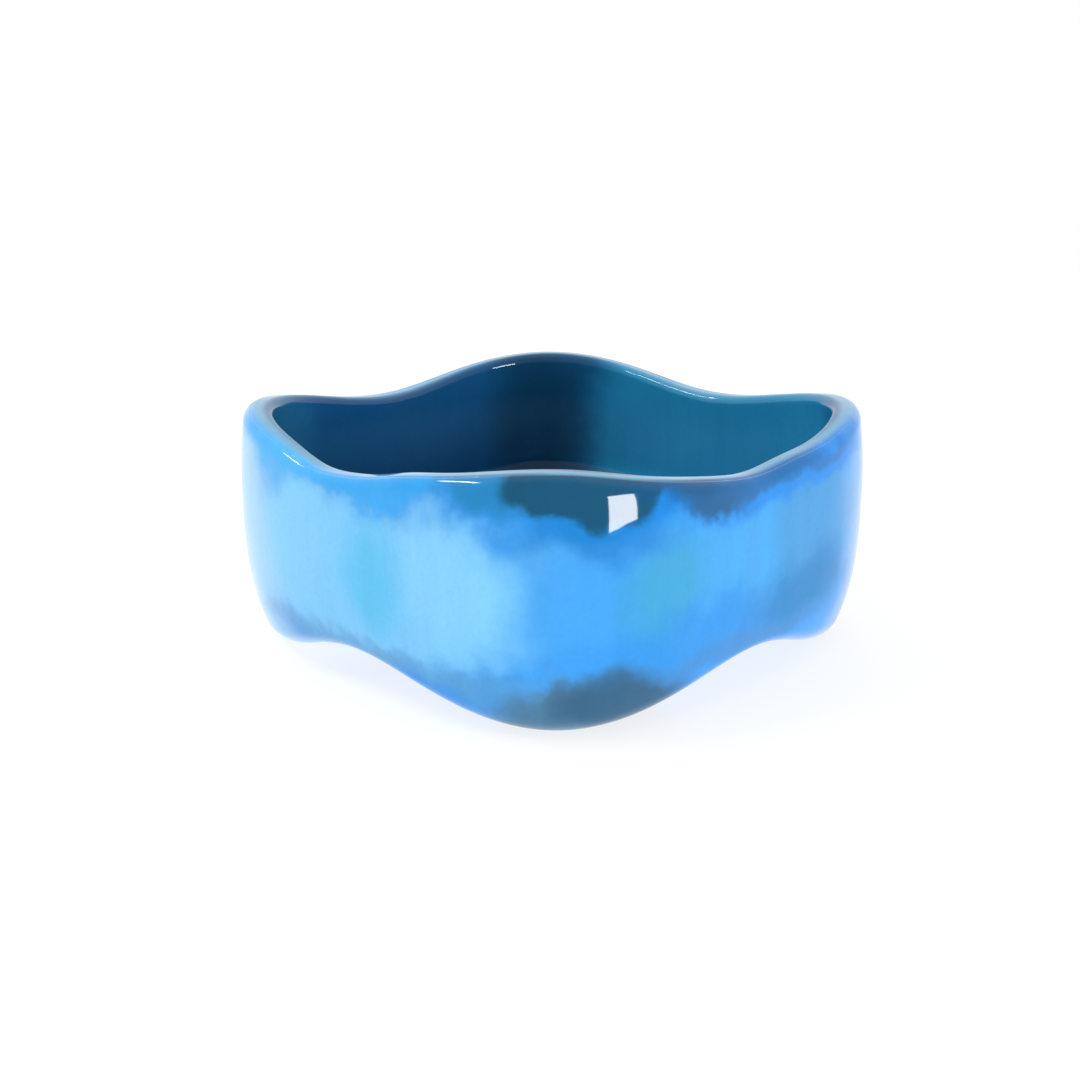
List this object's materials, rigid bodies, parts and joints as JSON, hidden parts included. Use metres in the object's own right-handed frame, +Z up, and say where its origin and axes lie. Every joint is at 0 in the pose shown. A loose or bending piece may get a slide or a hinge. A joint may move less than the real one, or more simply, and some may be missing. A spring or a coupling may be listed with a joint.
{
  "type": "art glass bowl",
  "caption": "Rounded-square cased glass bowl with a wavy rim, soft corners and an arched foot edge that stands on ground flats",
  "frame": {"origin": "on the table under the middle of the bowl, at the bottom centre of its box", "axes": "+Z up out of the bowl; X and Y run through opposite corners; -Y is the corner that faces the viewer"},
  "size_m": [0.1502, 0.1502, 0.0574],
  "materials": {
    "clear_glass": "fire-polished clear glass",
    "petrol_glass": "glossy deep petrol-blue glass",
    "sky_opal_glass": "sky-blue opal glass",
    "turquoise_glass": "turquoise opal glass"
  },
  "bodies": {
    "root": {"clear_casing": "clear_glass", "petrol_lining": "petrol_glass", "cloud_front_left": "sky_opal_glass", "cloud_front_right": "sky_opal_glass", "cloud_back_left": "sky_opal_glass", "cloud_back_right": "sky_opal_glass", "turquoise_left": "turquoise_glass", "turquoise_right": "turquoise_glass"}
  },
  "joints": []
}
